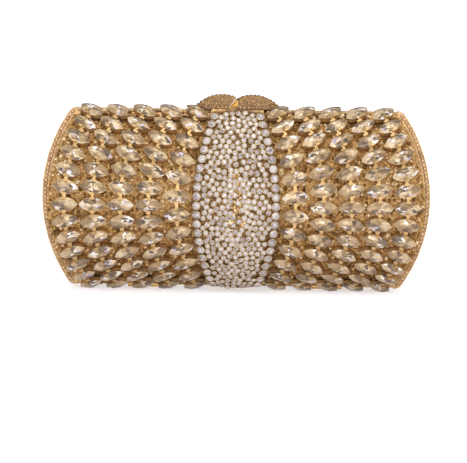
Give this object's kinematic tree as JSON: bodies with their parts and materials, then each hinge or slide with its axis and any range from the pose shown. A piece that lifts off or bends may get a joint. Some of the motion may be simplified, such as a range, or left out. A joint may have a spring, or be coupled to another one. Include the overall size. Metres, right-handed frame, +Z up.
{
  "type": "minaudiere",
  "caption": "Hard metal evening clutch with a bow front of set crystals, hinged below and closed by a petal clasp.",
  "frame": {"origin": "bottom centre of the standing case, where its lowest stones touch the surface", "axes": "+X along the length, +Y from front to rear, +Z up"},
  "size_m": [0.205, 0.0666, 0.1036],
  "materials": {
    "champagne_crystal": "faceted, polished",
    "clear_crystal": "faceted, polished",
    "champagne_pave": "faceted, polished",
    "lining_leather": "soft, matt",
    "worked_gold": "granulated, gold plated",
    "setting_gold": "polished, gold plated",
    "polished_gold": "polished, gold plated",
    "steel_pin": "plain"
  },
  "bodies": {
    "rear_half": {"rear_frame": "polished_gold", "rear_shell": "worked_gold", "rear_lining": "lining_leather", "rear_pocket": "lining_leather", "rear_frame_stones": "champagne_pave", "rear_left_settings": "setting_gold", "rear_right_settings": "setting_gold", "rear_left_marquises": "champagne_crystal", "rear_right_marquises": "champagne_crystal", "rear_base_marquises": "champagne_crystal", "rear_knot_panel": "worked_gold", "rear_knot_settings": "setting_gold", "rear_knot_border_stones": "clear_crystal", "rear_knot_stones": "clear_crystal", "rear_hinge_knuckles": "polished_gold", "left_hinge_pin": "steel_pin", "right_hinge_pin": "steel_pin", "left_strap_lug": "polished_gold", "right_strap_lug": "polished_gold", "rear_clasp_foot": "polished_gold", "near_petal": "polished_gold", "near_petal_stones": "champagne_pave"},
    "front_half": {"front_frame": "polished_gold", "front_shell": "worked_gold", "front_lining": "lining_leather", "front_frame_stones": "champagne_pave", "front_left_settings": "setting_gold", "front_right_settings": "setting_gold", "front_left_marquises": "champagne_crystal", "front_right_marquises": "champagne_crystal", "front_base_marquises": "champagne_crystal", "front_knot_panel": "worked_gold", "front_knot_settings": "setting_gold", "front_knot_border_stones": "clear_crystal", "front_knot_stones": "clear_crystal", "front_hinge_knuckles": "polished_gold", "front_clasp_foot": "polished_gold", "far_petal": "polished_gold", "far_petal_stones": "champagne_pave"}
  },
  "joints": [
    {"name": "case_opening", "type": "hinge", "parent": "rear_half", "child": "front_half", "pos_m": [0, 0, 0.00173], "axis": [1, 0, 0], "range_deg": [0, 75]}
  ]
}
